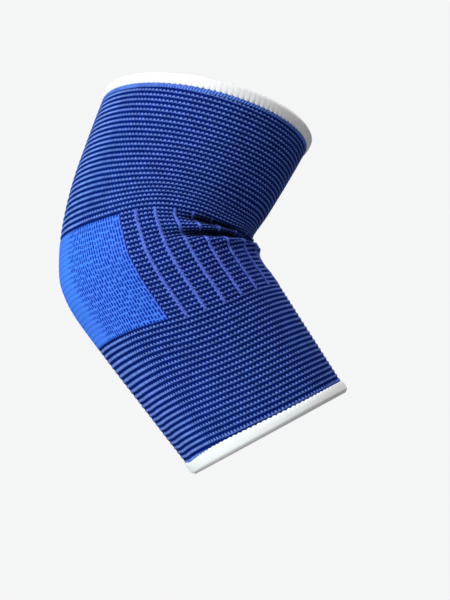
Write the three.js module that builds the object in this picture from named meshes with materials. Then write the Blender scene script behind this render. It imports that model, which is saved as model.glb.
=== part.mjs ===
// Knitted elbow brace: one bent elastic tube with a plain elbow patch, a ribbed flex panel and two sewn hems.
// Millimetres. +Z up, +X towards the front of the arm, -Y the near side, origin in the hollow at the elbow.
import * as THREE from 'three';

// Named sizes: the two straight runs of the tube, their radii and how far each leans from the upright.
const UPPER_RUN = 76;
const FOREARM_RUN = 102;
const UPPER_RADIUS = 51;
const FOREARM_RADIUS = 45;
const UPPER_LEAN = THREE.MathUtils.degToRad(22.5);
const FOREARM_LEAN = THREE.MathUtils.degToRad(35);

// Named sizes: the cloth itself, and the narrow space left between two pieces that meet.
const WALL = 1.8;
const GAP = 0.3;
const FOLD_DEPTH = 3.2;
const UPPER_HEM_HEIGHT = 6.0;
const FOREARM_HEM_HEIGHT = 6.4;
const HEM_BULGE = 0.9;
const HEM_INSIDE = 0.3;

// The knit is counted in courses down the arm and wales round it, which place every edge of the pattern.
const WALES_ROUND = 144;
const LAST_COURSE = 76;
const ELBOW_FIRST_COURSE = 26;
const ELBOW_LAST_COURSE = 53;
const PATCH_HALF_WALES = 23;
const FOLDS_FIRST_COURSE = 20;
const FOLDS_LAST_COURSE = 36;

// How many flat sides the round pieces have, and how many steps each piece takes along and round the arm.
const SIDES_ROUND = 60;
const UPPER_PLAIN_STEPS = 4;
const UPPER_FOLD_STEPS = 6;
const FOREARM_STEPS = 6;
const PATCH_STEPS = { along: 11, round: 20 };
const PANEL_STEPS = { folds: 13, plain: 5, round: 54 };

// Small steps along and round the cloth, over which its directions and its spacing are measured.
const COURSE_STEP = 0.05;
const ANGLE_STEP = 0.01;

// Sections down the tube. Along and out are shares of the run and the radius of the limb the row is on,
// measured from the elbow to the back and the front of the section. Depth is half of the section across Y.
// The bows are in courses, and say how far a course rides up the arm at the side and towards the back.
// The drop says how far it sags at the front. The turn is in degrees, towards the back for the side wales.
// A section is the same nine numbers in this order, once the shares are multiplied out.
const SECTIONS = [
  { course: 0, limb: 'upper', backAlong: 0.87, backOut: 1.035, frontAlong: 1.105, frontOut: 1.03,
    depth: 0.98, sideBow: 0, frontDrop: 0, backBow: 0, turn: 0 },
  { course: 9, limb: 'upper', backAlong: 0.526, backOut: 1.012, frontAlong: 0.868, frontOut: 0.986,
    depth: 0.98, sideBow: 0.1, frontDrop: 0, backBow: 0, turn: 2 },
  { course: 18, limb: 'upper', backAlong: 0.171, backOut: 0.966, frontAlong: 0.579, frontOut: 0.92,
    depth: 0.96, sideBow: 0.8, frontDrop: 0.3, backBow: 0, turn: 5 },
  { course: 26, limb: 'upper', backAlong: -0.16, backOut: 0.862, frontAlong: 0.37, frontOut: 0.864,
    depth: 0.92, sideBow: 1.75, frontDrop: 1.5, backBow: 0, turn: 8 },
  { course: 31, limb: 'upper', backAlong: -0.355, backOut: 0.753, frontAlong: 0.318, frontOut: 0.91,
    depth: 0.905, sideBow: 1.3, frontDrop: 1.0, backBow: 0, turn: 3 },
  { course: 39, limb: 'forearm', backAlong: -0.05, backOut: 1.076, frontAlong: 0.345, frontOut: 0.975,
    depth: 1.02, sideBow: 0.3, frontDrop: 0.4, backBow: 0, turn: 0 },
  { course: 52.8, limb: 'forearm', backAlong: 0.255, backOut: 1.08, frontAlong: 0.466, frontOut: 0.993,
    depth: 1.0, sideBow: -1.3, frontDrop: 0, backBow: 0, turn: 0 },
  { course: 64, limb: 'forearm', backAlong: 0.608, backOut: 1.022, frontAlong: 0.745, frontOut: 0.985,
    depth: 0.978, sideBow: -0.4, frontDrop: 0, backBow: 0.5, turn: 0 },
  { course: 76, limb: 'forearm', backAlong: 0.966, backOut: 0.958, frontAlong: 1.042, frontOut: 0.975,
    depth: 0.956, sideBow: 0, frontDrop: 0, backBow: 0.9, turn: 0 },
];

// Where round the arm each bow is strongest and how widely it spreads, in degrees from the back.
const SIDE_BOW = { at: 74, spread: 30 };
const BACK_BOW = { at: 40, spread: 34 };
const FRONT_DROP = { from: 95, full: 135 };

// Folds that run round from the crook. Each fades in between two angles from the back of the arm, and its
// place moves from the first course at the fade to the second at the crook. Depth is a share of FOLD_DEPTH.
const FOLDS = [
  { fold: 'upper crease', fadeFrom: 72, fullFrom: 108,
    courseAtFade: 25.2, courseAtCrook: 31, depth: -0.8, half: 0.95 },
  { fold: 'roll', fadeFrom: 72, fullFrom: 112,
    courseAtFade: 27.8, courseAtCrook: 30.6, depth: 0.55, half: 1.1 },
  { fold: 'lower crease', fadeFrom: 66, fullFrom: 108,
    courseAtFade: 29.9, courseAtCrook: 31, depth: -1.0, half: 1.0 },
  { fold: 'lip', fadeFrom: 80, fullFrom: 125,
    courseAtFade: 32.6, courseAtCrook: 33.6, depth: 0.6, half: 1.5 },
];

// The bent frame of each limb: along it away from the elbow, and square to it towards the back.
const LIMBS = {
  upper: {
    along: new THREE.Vector3(Math.sin(UPPER_LEAN), 0, Math.cos(UPPER_LEAN)),
    back: new THREE.Vector3(-Math.cos(UPPER_LEAN), 0, Math.sin(UPPER_LEAN)),
    run: UPPER_RUN,
    radius: UPPER_RADIUS,
  },
  forearm: {
    along: new THREE.Vector3(Math.sin(FOREARM_LEAN), 0, -Math.cos(FOREARM_LEAN)),
    back: new THREE.Vector3(-Math.cos(FOREARM_LEAN), 0, -Math.sin(FOREARM_LEAN)),
    run: FOREARM_RUN,
    radius: FOREARM_RADIUS,
  },
};

// Each table row as nine numbers: the back point, the front point, the half depth, the bows and the turn.
function sectionNumbers(row) {
  const limb = LIMBS[row.limb];
  const back = limb.along.clone().multiplyScalar(row.backAlong * limb.run);
  back.addScaledVector(limb.back, row.backOut * limb.radius);
  const front = limb.along.clone().multiplyScalar(row.frontAlong * limb.run);
  front.addScaledVector(limb.back, -row.frontOut * limb.radius);
  return [
    back.x, back.z, front.x, front.z, row.depth * limb.radius,
    row.sideBow, row.frontDrop, row.backBow, row.turn,
  ];
}

const KNOTS = SECTIONS.map((row) => row.course);
const VALUES = SECTIONS.map(sectionNumbers);

// Slopes at the rows, from the parabola through each row and its two neighbours.
function rowSlopes() {
  const last = KNOTS.length - 1;
  const steps = [];
  for (let row = 0; row < last; row++) {
    const run = KNOTS[row + 1] - KNOTS[row];
    steps.push({ run, rise: VALUES[row].map((value, k) => (VALUES[row + 1][k] - value) / run) });
  }
  const slopes = [];
  for (let row = 1; row < last; row++) {
    const before = steps[row - 1];
    const after = steps[row];
    const whole = before.run + after.run;
    slopes[row] = before.rise.map((rise, k) => (rise * after.run + after.rise[k] * before.run) / whole);
  }
  slopes[0] = steps[0].rise.map((rise, k) => 2 * rise - slopes[1][k]);
  slopes[last] = steps[last - 1].rise.map((rise, k) => 2 * rise - slopes[last - 1][k]);
  return slopes;
}

const SLOPES = rowSlopes();

// The section at any course: a smooth curve through the rows, carried on straight past both ends.
function sectionAt(course) {
  const last = KNOTS.length - 1;
  if (course < KNOTS[0]) {
    return VALUES[0].map((value, k) => value + SLOPES[0][k] * (course - KNOTS[0]));
  }
  if (course > KNOTS[last]) {
    return VALUES[last].map((value, k) => value + SLOPES[last][k] * (course - KNOTS[last]));
  }
  let row = 0;
  while (row < last - 1 && course > KNOTS[row + 1]) row += 1;
  const run = KNOTS[row + 1] - KNOTS[row];
  const t = (course - KNOTS[row]) / run;
  const from = (1 + 2 * t) * (1 - t) * (1 - t);
  const leave = t * (1 - t) * (1 - t) * run;
  const to = t * t * (3 - 2 * t);
  const arrive = t * t * (t - 1) * run;
  return VALUES[row].map((value, k) =>
    value * from + SLOPES[row][k] * leave + VALUES[row + 1][k] * to + SLOPES[row + 1][k] * arrive);
}

// A point of the unfolded tube, an oval from back to front.
// The angle is 0 at the back and positive on the near side.
function ovalPoint(course, angle) {
  const [backX, backZ, frontX, frontZ, halfDepth] = sectionAt(course);
  const across = Math.cos(angle);
  return new THREE.Vector3(
    (backX + frontX) / 2 + ((backX - frontX) / 2) * across,
    -halfDepth * Math.sin(angle),
    (backZ + frontZ) / 2 + ((backZ - frontZ) / 2) * across,
  );
}

// Square to the unfolded tube, pointing out of it.
function ovalNormal(course, angle) {
  const down = ovalPoint(course + COURSE_STEP, angle).sub(ovalPoint(course - COURSE_STEP, angle));
  const round = ovalPoint(course, angle + ANGLE_STEP).sub(ovalPoint(course, angle - ANGLE_STEP));
  return down.cross(round).normalize();
}

function degreesFromBack(angle) {
  return Math.abs(THREE.MathUtils.radToDeg(Math.atan2(Math.sin(angle), Math.cos(angle))));
}

function bell(away, spread) {
  return Math.exp(-((away / spread) ** 2));
}

// Where a course lies on the tube at an angle, once the bows and the drop have shifted it along.
function bowedCourse(course, angle) {
  const [, , , , , sideBow, frontDrop, backBow] = sectionAt(course);
  const fromBack = degreesFromBack(angle);
  const side = sideBow * bell(fromBack - SIDE_BOW.at, SIDE_BOW.spread);
  const back = backBow * bell(fromBack - BACK_BOW.at, BACK_BOW.spread);
  const front = frontDrop * THREE.MathUtils.smoothstep(fromBack, FRONT_DROP.from, FRONT_DROP.full);
  return course - side - back + front;
}

// Where a wale lies round the tube at a course, once the turn has shifted it.
function turnedAngle(course, angle) {
  const turn = sectionAt(course).at(-1);
  return angle - THREE.MathUtils.degToRad(turn) * Math.sin(angle);
}

// How far the folds push the cloth out or in at a place, growing towards the crook on both sides of the arm.
function foldHeight(course, angle) {
  const fromBack = degreesFromBack(angle);
  let height = 0;
  for (const row of FOLDS) {
    const share = (fromBack - row.fadeFrom) / (180 - row.fadeFrom);
    const centre = row.courseAtFade + (row.courseAtCrook - row.courseAtFade) * share;
    const grown = THREE.MathUtils.smoothstep(fromBack, row.fadeFrom, row.fullFrom);
    height += row.depth * FOLD_DEPTH * grown * bell(course - centre, row.half);
  }
  return height;
}

// A point of the cloth: on the outside face when lift is 0, and on the inside face when it is -WALL.
function clothPoint(course, angle, lift) {
  const turned = turnedAngle(course, angle);
  const place = bowedCourse(course, turned);
  const point = ovalPoint(place, turned);
  return point.addScaledVector(ovalNormal(place, turned), foldHeight(place, turned) + lift);
}

// Courses in half of the gap at a place, so that the space left along the cloth is the same everywhere.
function halfGapCourses(course, angle) {
  const before = clothPoint(course - COURSE_STEP, angle, 0);
  const after = clothPoint(course + COURSE_STEP, angle, 0);
  return (GAP * COURSE_STEP) / before.distanceTo(after);
}

// The same round the arm, as an angle.
function halfGapAngle(course, angle) {
  const before = clothPoint(course, angle - ANGLE_STEP, 0);
  const after = clothPoint(course, angle + ANGLE_STEP, 0);
  return (GAP * ANGLE_STEP) / before.distanceTo(after);
}

// Which way half of the gap is taken off at a place in a list: inwards at both ends and nowhere between.
function inwardSide(place, list) {
  if (place === 0) return 1;
  return place === list.length - 1 ? -1 : 0;
}

const ANGLE_PER_WALE = (2 * Math.PI) / WALES_ROUND;

// Colours and finish of the three knits and of the sewn hem.
const FINISHES = {
  hem: { color: 0xf1f0ee, roughness: 0.85, metalness: 0 },
  ribKnit: { color: 0x27409f, roughness: 0.8, metalness: 0 },
  flexKnit: { color: 0x20347f, roughness: 0.8, metalness: 0 },
  patchKnit: { color: 0x2b62e0, roughness: 0.75, metalness: 0 },
};

// Collects corners and faces, then makes one closed mesh of them.
class Shell {
  constructor() {
    this.corners = [];
    this.faces = [];
  }

  corner(point) {
    this.corners.push(point.x, point.y, point.z);
    return this.corners.length / 3 - 1;
  }

  quad(a, b, c, d) {
    this.faces.push(a, b, c, a, c, d);
  }

  // Closed outlines, each joined to the next all the way round.
  joinRings(rings) {
    for (let turn = 0; turn < rings.length; turn++) {
      const here = rings[turn];
      const next = rings[(turn + 1) % rings.length];
      for (let k = 0; k < here.length; k++) {
        const after = (k + 1) % here.length;
        this.quad(here[k], here[after], next[after], next[k]);
      }
    }
  }

  mesh(name, finish) {
    const geometry = new THREE.BufferGeometry();
    geometry.setAttribute('position', new THREE.Float32BufferAttribute(this.corners, 3));
    geometry.setIndex(this.faces);
    geometry.computeVertexNormals();
    const mesh = new THREE.Mesh(geometry, new THREE.MeshStandardMaterial(finish));
    mesh.name = name;
    return mesh;
  }
}

// A tube of cloth: a closed outline of course and lift stations, carried all the way round the arm.
function tubePiece(name, finish, stations, segments) {
  const shell = new Shell();
  const rings = [];
  for (let turn = 0; turn < segments; turn++) {
    const angle = (2 * Math.PI * turn) / segments;
    rings.push(stations.map((station) => {
      const course = station.course + station.side * halfGapCourses(station.course, angle);
      return shell.corner(clothPoint(course, angle, station.lift));
    }));
  }
  shell.joinRings(rings);
  return shell.mesh(name, finish);
}

// Stations of a plain tube: down the outside from the first course to the last, then back up the inside.
function tubeStations(courses) {
  const outside = courses.map((course, row) => ({ course, side: inwardSide(row, courses), lift: 0 }));
  const inside = outside.map((station) => ({ ...station, lift: -WALL })).reverse();
  return outside.concat(inside);
}

// The outline of a hem, cut across. Past is a share of its height from the seam to the free edge.
// The others are shares of HEM_BULGE outwards, and of WALL and HEM_INSIDE inwards.
const HEM_OUTLINE = [
  { past: 0, bulge: 0.1, wall: 0, inside: 0 },
  { past: 0.12, bulge: 0.8, wall: 0, inside: 0 },
  { past: 0.5, bulge: 1, wall: 0, inside: 0 },
  { past: 0.88, bulge: 0.75, wall: 0, inside: 0 },
  { past: 1, bulge: 0, wall: 0.35, inside: 0 },
  { past: 0.9, bulge: 0, wall: 1, inside: 1 },
  { past: 0.12, bulge: 0, wall: 1, inside: 1 },
  { past: 0, bulge: 0, wall: 1, inside: 0 },
];

// A hem: a soft band sewn past the end course, fuller at mid height. Its free edge runs level round the arm.
// Side is -1 for the hem above the first course and 1 for the one below the last.
function hemPiece(name, finish, endCourse, side, height, segments) {
  const profile = side < 0 ? [...HEM_OUTLINE].reverse() : HEM_OUTLINE;
  const shell = new Shell();
  const rings = evenSteps(0, 2 * Math.PI, segments).slice(0, -1).map((angle) => profile.map((row) => {
    const lift = row.bulge * HEM_BULGE - row.wall * WALL - row.inside * HEM_INSIDE;
    const start = clothPoint(endCourse + side * halfGapCourses(endCourse, angle), angle, lift);
    const level = ovalPoint(endCourse, angle).addScaledVector(ovalNormal(endCourse, angle), lift);
    const onward = ovalPoint(endCourse + side, angle).sub(ovalPoint(endCourse, angle)).normalize();
    const edge = level.addScaledVector(onward, height);
    return shell.corner(start.lerp(edge, row.past));
  }));
  shell.joinRings(rings);
  return shell.mesh(name, finish);
}

// A piece of the tube between two courses and two angles, with a rim all round it.
function clothPiece(name, finish, courses, angles) {
  const shell = new Shell();
  const lastRow = courses.length - 1;
  const lastColumn = angles.length - 1;
  const layers = [0, -WALL].map((lift) => courses.map((course, row) => angles.map((angle, column) => {
    const placedCourse = course + inwardSide(row, courses) * halfGapCourses(course, angle);
    const placedAngle = angle + inwardSide(column, angles) * halfGapAngle(course, angle);
    return shell.corner(clothPoint(placedCourse, placedAngle, lift));
  })));
  const [outer, inner] = layers;
  for (let row = 0; row < lastRow; row++) {
    const below = row + 1;
    for (let column = 0; column < lastColumn; column++) {
      const next = column + 1;
      shell.quad(outer[row][column], outer[below][column], outer[below][next], outer[row][next]);
      shell.quad(inner[row][column], inner[row][next], inner[below][next], inner[below][column]);
    }
    shell.quad(outer[below][0], outer[row][0], inner[row][0], inner[below][0]);
    shell.quad(
      outer[row][lastColumn], outer[below][lastColumn], inner[below][lastColumn], inner[row][lastColumn]);
  }
  for (let column = 0; column < lastColumn; column++) {
    const next = column + 1;
    shell.quad(outer[0][column], outer[0][next], inner[0][next], inner[0][column]);
    shell.quad(outer[lastRow][next], outer[lastRow][column], inner[lastRow][column], inner[lastRow][next]);
  }
  return shell.mesh(name, finish);
}

function evenSteps(from, to, count) {
  return Array.from({ length: count + 1 }, (_, k) => from + ((to - from) * k) / count);
}

// Steps in two stretches that share the place between them.
function twoStretches(from, middle, to, firstCount, secondCount) {
  return evenSteps(from, middle, firstCount).concat(evenSteps(middle, to, secondCount).slice(1));
}

const patchEdge = PATCH_HALF_WALES * ANGLE_PER_WALE;
const patchCourses = evenSteps(ELBOW_FIRST_COURSE, ELBOW_LAST_COURSE, PATCH_STEPS.along);
const patchAngles = evenSteps(-patchEdge, patchEdge, PATCH_STEPS.round);
const panelAngles = evenSteps(patchEdge, 2 * Math.PI - patchEdge, PANEL_STEPS.round);
const panelCourses = twoStretches(
  ELBOW_FIRST_COURSE, FOLDS_LAST_COURSE, ELBOW_LAST_COURSE, PANEL_STEPS.folds, PANEL_STEPS.plain);
const upperCourses = twoStretches(
  0, FOLDS_FIRST_COURSE, ELBOW_FIRST_COURSE, UPPER_PLAIN_STEPS, UPPER_FOLD_STEPS);
const upperStations = tubeStations(upperCourses);
const forearmStations = tubeStations(evenSteps(ELBOW_LAST_COURSE, LAST_COURSE, FOREARM_STEPS));

const brace = new THREE.Group();
brace.name = 'elbow_brace';
brace.add(hemPiece('upper_hem', FINISHES.hem, 0, -1, UPPER_HEM_HEIGHT, SIDES_ROUND));
brace.add(tubePiece('upper_sleeve', FINISHES.ribKnit, upperStations, SIDES_ROUND));
brace.add(clothPiece('elbow_patch', FINISHES.patchKnit, patchCourses, patchAngles));
brace.add(clothPiece('flex_panel', FINISHES.flexKnit, panelCourses, panelAngles));
brace.add(tubePiece('forearm_sleeve', FINISHES.ribKnit, forearmStations, SIDES_ROUND));
brace.add(hemPiece('forearm_hem', FINISHES.hem, LAST_COURSE, 1, FOREARM_HEM_HEIGHT, SIDES_ROUND));

export default brace;
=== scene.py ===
# %% [markdown]
# Knitted elbow brace
# The real object is one knitted elastic tube, bent at the elbow, with a white sewn hem at each end.
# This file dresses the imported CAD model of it. Every piece is built in the same frame, in millimetres,
# and turned into metres only when its mesh is made, so nothing is fitted by eye.

# %% Load the fixed frame
import math

import bpy
import numpy as np
from mathutils import Matrix, Vector


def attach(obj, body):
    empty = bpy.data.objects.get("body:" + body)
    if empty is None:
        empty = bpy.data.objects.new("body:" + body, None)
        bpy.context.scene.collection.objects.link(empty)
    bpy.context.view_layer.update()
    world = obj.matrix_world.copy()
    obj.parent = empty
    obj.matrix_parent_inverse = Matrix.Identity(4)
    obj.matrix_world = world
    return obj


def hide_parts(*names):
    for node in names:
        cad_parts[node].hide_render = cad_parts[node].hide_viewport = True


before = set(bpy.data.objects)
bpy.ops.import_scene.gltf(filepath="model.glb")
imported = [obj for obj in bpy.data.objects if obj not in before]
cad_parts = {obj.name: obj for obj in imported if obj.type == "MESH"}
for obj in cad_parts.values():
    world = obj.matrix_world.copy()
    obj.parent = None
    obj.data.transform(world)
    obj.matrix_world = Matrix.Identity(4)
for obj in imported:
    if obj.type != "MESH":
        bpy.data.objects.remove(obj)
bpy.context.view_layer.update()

print("CAD nodes:", ", ".join(sorted(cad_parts)))

# %% [markdown]
# The shape of the tube
# A worn sleeve has no flat face and no straight edge: it follows the limb inside it. It could be sculpted,
# but then no stitch would know where it lies. Here the tube is a function of two numbers that a knitter
# counts, the course down the arm and the wale round it, so every stitch can be placed by its number.

# %% Named sizes of the tube, in millimetres and degrees
UPPER_RUN = 76.0
FOREARM_RUN = 102.0
UPPER_RADIUS = 51.0
FOREARM_RADIUS = 45.0
UPPER_LEAN = math.radians(22.5)
FOREARM_LEAN = math.radians(35.0)
WALL = 1.8
FOLD_DEPTH = 3.2
UPPER_HEM_HEIGHT = 6.0
FOREARM_HEM_HEIGHT = 5.6
HEM_BULGE = 0.9
HEM_INSIDE = 0.3
MILLIMETRE = 0.001

WALES_ROUND = 144
LAST_COURSE = 76
ELBOW_FIRST_COURSE = 26
ELBOW_LAST_COURSE = 53
PATCH_HALF_WALES = 27
ANGLE_PER_WALE = 2 * math.pi / WALES_ROUND
WALE_SPREAD = 4.0

# Sections down the tube: course, limb, then shares of the limb's run and radius to the back and the front,
# half the depth, and how far the courses ride up at the side, sag at the front, ride up at the back and turn.
SECTIONS = [
    (0, "upper", 0.87, 1.035, 1.105, 1.03, 0.98, 0, 0, 0, 0),
    (9, "upper", 0.526, 1.012, 0.868, 0.986, 0.98, 0.1, 0, 0, 2),
    (18, "upper", 0.171, 0.966, 0.579, 0.92, 0.96, 0.8, 0.3, 0, 5),
    (26, "upper", -0.16, 0.862, 0.37, 0.864, 0.92, 1.75, 1.5, 0, 8),
    (31, "upper", -0.355, 0.753, 0.318, 0.91, 0.905, 1.3, 1.0, 0, 3),
    (39, "forearm", -0.05, 1.076, 0.345, 0.975, 1.02, 0.3, 0.4, 0, 0),
    (52.8, "forearm", 0.255, 1.08, 0.466, 0.993, 1.0, -1.3, 0, 0, 0),
    (64, "forearm", 0.608, 1.022, 0.745, 0.985, 0.978, -0.4, 0, 0.5, 0),
    (76, "forearm", 0.966, 0.958, 1.042, 0.975, 0.956, 0, 0, 0.9, 0),
]
SIDE_BOW = {"at": 74, "spread": 30}
BACK_BOW = {"at": 40, "spread": 34}
FRONT_DROP = {"from": 95, "full": 135}

# Folds round from the crook: fade from, full from (degrees), course at the fade, course at the crook,
# depth as a share of FOLD_DEPTH, half width in courses. The creases are a little deeper than in the solids.
FOLDS = [
    (72, 108, 25.2, 31.0, -0.95, 0.95),
    (72, 112, 27.8, 30.6, 0.55, 1.1),
    (66, 108, 29.9, 31.0, -1.2, 1.0),
    (80, 125, 32.6, 33.6, 0.6, 1.5),
]
COURSE_STEP = 0.05
ANGLE_STEP = 0.01

LIMBS = {
    "upper": (np.array([math.sin(UPPER_LEAN), math.cos(UPPER_LEAN)]),
              np.array([-math.cos(UPPER_LEAN), math.sin(UPPER_LEAN)]), UPPER_RUN, UPPER_RADIUS),
    "forearm": (np.array([math.sin(FOREARM_LEAN), -math.cos(FOREARM_LEAN)]),
                np.array([-math.cos(FOREARM_LEAN), -math.sin(FOREARM_LEAN)]), FOREARM_RUN, FOREARM_RADIUS),
}


# %% A smooth curve through the sections
def section_numbers(row):
    """The back point, front point, half depth, bows and turn of one section, in millimetres and courses."""
    _, limb, back_along, back_out, front_along, front_out, depth, *bows_and_turn = row
    along, back, run, radius = LIMBS[limb]
    back_point = along * back_along * run + back * back_out * radius
    front_point = along * front_along * run - back * front_out * radius
    return np.concatenate([back_point, front_point, [depth * radius], bows_and_turn])


KNOTS = np.array([float(row[0]) for row in SECTIONS])
VALUES = np.array([section_numbers(row) for row in SECTIONS])


def row_slopes():
    """Slopes at the sections, from the parabola through each one and its two neighbours."""
    runs = np.diff(KNOTS)[:, None]
    rises = np.diff(VALUES, axis=0) / runs
    slopes = np.zeros_like(VALUES)
    slopes[1:-1] = (rises[:-1] * runs[1:] + rises[1:] * runs[:-1]) / (runs[:-1] + runs[1:])
    slopes[0] = 2 * rises[0] - slopes[1]
    slopes[-1] = 2 * rises[-1] - slopes[-2]
    return slopes


SLOPES = row_slopes()


def section_at(course):
    """The nine numbers of the section at any course, each as an array, carried on straight past both ends."""
    held = np.clip(course, KNOTS[0], KNOTS[-1])
    row = np.clip(np.searchsorted(KNOTS, held, side="right") - 1, 0, len(KNOTS) - 2)
    run = (KNOTS[row + 1] - KNOTS[row])[..., None]
    t = (held - KNOTS[row])[..., None] / run
    smooth = VALUES[row] * (1 + 2 * t) * (1 - t) ** 2 + SLOPES[row] * t * (1 - t) ** 2 * run
    smooth += VALUES[row + 1] * t * t * (3 - 2 * t) + SLOPES[row + 1] * t * t * (t - 1) * run
    end_slope = np.where((course < KNOTS[0])[..., None], SLOPES[0], SLOPES[-1])
    return np.moveaxis(smooth + end_slope * (course - held)[..., None], -1, 0)


print("sections:", len(SECTIONS), "courses:", LAST_COURSE, "wales:", WALES_ROUND)


# %% Where a stitch lies
def oval_point(course, angle):
    """A point of the unfolded tube. The angle is 0 at the back and positive on the near side."""
    back_x, back_z, front_x, front_z, half_depth, *_ = section_at(course)
    across = np.cos(angle)
    x = (back_x + front_x) / 2 + (back_x - front_x) / 2 * across
    z = (back_z + front_z) / 2 + (back_z - front_z) / 2 * across
    return np.stack([x, -half_depth * np.sin(angle), z], axis=-1)


def unit(vectors):
    """The same directions, each one long."""
    return vectors / np.linalg.norm(vectors, axis=-1, keepdims=True)


def oval_normal(course, angle):
    """Square to the unfolded tube, pointing out of it."""
    down = oval_point(course + COURSE_STEP, angle) - oval_point(course - COURSE_STEP, angle)
    round_arm = oval_point(course, angle + ANGLE_STEP) - oval_point(course, angle - ANGLE_STEP)
    return unit(np.cross(down, round_arm))


def eased(value, low, high):
    """0 below low, 1 above high and smooth between."""
    t = np.clip((value - low) / (high - low), 0, 1)
    return t * t * (3 - 2 * t)


def bell(away, spread):
    """1 in the middle, falling off smoothly with the distance away from it."""
    return np.exp(-((away / spread) ** 2))


def flat_topped(share):
    """0 at both ends of a share from 0 to 1, and nearly 1 all the way between them."""
    return 1 - np.abs(2 * share - 1) ** 3


def degrees_from_back(angle):
    """Degrees between an angle and the middle of the back, the shorter way round."""
    return np.abs((np.degrees(angle) + 180) % 360 - 180)


def bowed_course(course, angle):
    """Where a course lies on the tube at an angle, once the bows and the drop have shifted it."""
    *_, side_bow, front_drop, back_bow, _ = section_at(course)
    from_back = degrees_from_back(angle)
    side = side_bow * bell(from_back - SIDE_BOW["at"], SIDE_BOW["spread"])
    back = back_bow * bell(from_back - BACK_BOW["at"], BACK_BOW["spread"])
    front = front_drop * eased(from_back, FRONT_DROP["from"], FRONT_DROP["full"])
    return course - side - back + front


def from_fold(fold, course, angle):
    """Courses from the middle line of a fold."""
    fade, _, at_fade, at_crook, *_ = fold
    return course - at_fade - (at_crook - at_fade) * (degrees_from_back(angle) - fade) / (180 - fade)


def fold_height(course, angle):
    """How far the folds at the crook push the cloth out or in."""
    height = np.zeros_like(course)
    for fold in FOLDS:
        fade, full, _, _, depth, half = fold
        grown = eased(degrees_from_back(angle), fade, full)
        height += depth * FOLD_DEPTH * grown * bell(from_fold(fold, course, angle), half)
    return height


def on_the_oval(station, angle):
    """The course and the angle of the unfolded tube at which a station and an angle come to lie."""
    *_, turn = section_at(station)
    turned = angle - np.radians(turn) * np.sin(angle)
    return bowed_course(station, turned), turned


def tube_point(station, angle, lift):
    """A point of the cloth in millimetres, for a station, an angle from the back, and a height."""
    course, turned = on_the_oval(station, angle)
    height = fold_height(course, turned) + lift
    return oval_point(course, turned) + oval_normal(course, turned) * height[..., None]


def wales_from_back(wale):
    """Wales between a wale and the middle of the back, the shorter way round."""
    return np.abs((wale + WALES_ROUND / 2) % WALES_ROUND - WALES_ROUND / 2)


def wale_angle(wale):
    """The angle of a counted wale. The loops are narrower at the back of the arm than at the crook."""
    return (wale - WALE_SPREAD * np.sin(wale * ANGLE_PER_WALE)) * ANGLE_PER_WALE


# %% [markdown]
# Where the bend hides its cloth
# Every course of this knit is the same length of yarn loops, but the crook has less room than the elbow.
# Squeezing the courses evenly would make them too fine there. Real cloth keeps its length and tucks what is
# left over into the creases, so the rows of the elbow are laid out by cloth length, creases included.

# %% Counting rows down the sleeve
ELBOW_ROWS = 24
ROW_LENGTH = 2.45
TUCK_WIDTH = 2.0
CREASE_HALF = {"open": 1.25, "closed": 0.8, "from": 105, "to": 150}
LOWER_CREASE_SHUT = {"from": 124, "to": 142, "share": 0.8}
TUCKS = [FOLDS[0], FOLDS[2]]
PANEL_DROP = 0.6
PANEL_DROP_DEGREES = (70, 105)
DROP_GONE_ROWS = 10
END_REACH = {"all": 0.1, "more": 0.25, "at": 48, "spread": 22}
UPPER_ROWS = ELBOW_FIRST_COURSE
PANEL_END_ROW = UPPER_ROWS + ELBOW_ROWS
LAST_ROW = PANEL_END_ROW + LAST_COURSE - ELBOW_LAST_COURSE
TABLE_STATIONS = 500
ROOM_STEP = 0.2
HEM_CUT = {"rows": 1.6, "more": 0.9, "at": 9, "spread": 6}
HEM_CUT_WALES = (8, 66)
HEM_CUT_GONE_ROWS = (20, 26)
BACK_RISE = 0.9
BACK_RISE_ROWS = (50, 74)
BACK_RISE_WALES = (2, 24)


def panel_drop(wale):
    """How far the lower edge of the elbow rows sags at the crook, in courses."""
    return PANEL_DROP * eased(degrees_from_back(wale_angle(wale)), *PANEL_DROP_DEGREES)


def elbow_row_table():
    """For every wale from the back to the crook: stations down the elbow, and the row reached at each."""
    wales = np.arange(0, WALES_ROUND // 2 + 1, dtype=float)
    share = np.linspace(0, 1, TABLE_STATIONS)
    depth = ELBOW_LAST_COURSE - ELBOW_FIRST_COURSE + panel_drop(wales)
    stations = ELBOW_FIRST_COURSE + depth[:, None] * share[None, :]
    wide = np.repeat(wale_angle(wales)[:, None], TABLE_STATIONS, axis=1)
    points = tube_point(stations, wide, np.zeros_like(stations))
    steps = np.linalg.norm(np.diff(points, axis=1), axis=2)
    course, angle = on_the_oval((stations[:, 1:] + stations[:, :-1]) / 2, wide[:, 1:])
    tucked = sum(bell(from_fold(tuck, course, angle), TUCK_WIDTH) for tuck in TUCKS)
    spare = np.maximum(ELBOW_ROWS * ROW_LENGTH - steps.sum(axis=1), 0)
    steps = steps + tucked * (spare / tucked.sum(axis=1))[:, None]
    reached = np.concatenate([np.zeros((len(wales), 1)), np.cumsum(steps, axis=1)], axis=1)
    print("cloth tucked away at the crook:", round(float(spare.max()), 1), "mm of", ELBOW_ROWS * ROW_LENGTH)
    return stations, UPPER_ROWS + ELBOW_ROWS * reached / reached[:, -1:]


ELBOW_STATIONS, ELBOW_REACHED = elbow_row_table()


def end_reach(angle):
    """How far the last row runs on past the last station, most behind the side of the arm."""
    behind_side = bell(degrees_from_back(angle) - END_REACH["at"], END_REACH["spread"])
    return END_REACH["all"] + END_REACH["more"] * behind_side


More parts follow.
